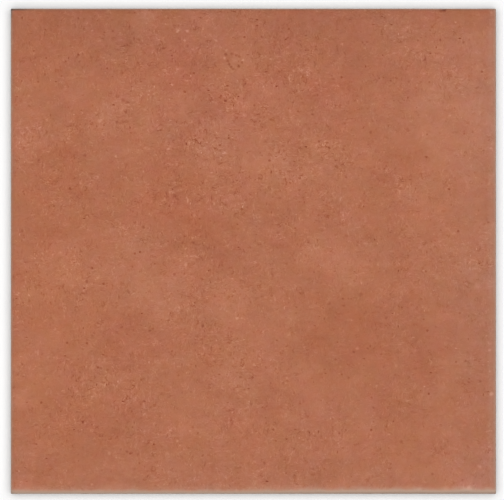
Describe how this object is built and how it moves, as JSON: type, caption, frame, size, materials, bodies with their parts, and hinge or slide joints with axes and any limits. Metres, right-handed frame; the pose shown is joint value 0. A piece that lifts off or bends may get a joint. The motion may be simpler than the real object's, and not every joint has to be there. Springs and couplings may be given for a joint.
{
  "type": "porcelain floor tile",
  "caption": "Square matt porcelain floor tile with a clay-red mottled face, a softly rounded margin and a ribbed keying back.",
  "frame": {"origin": "middle of the back, on the plane of the rib tops that the tile lies on", "axes": "+Z out of the wearing face; X and Y along the sides, with +Y towards the top of the picture"},
  "size_m": [0.298, 0.298, 0.0085],
  "materials": {
    "fired_tile": "matte"
  },
  "bodies": {
    "root": {"floor_tile": "fired_tile"}
  },
  "joints": []
}
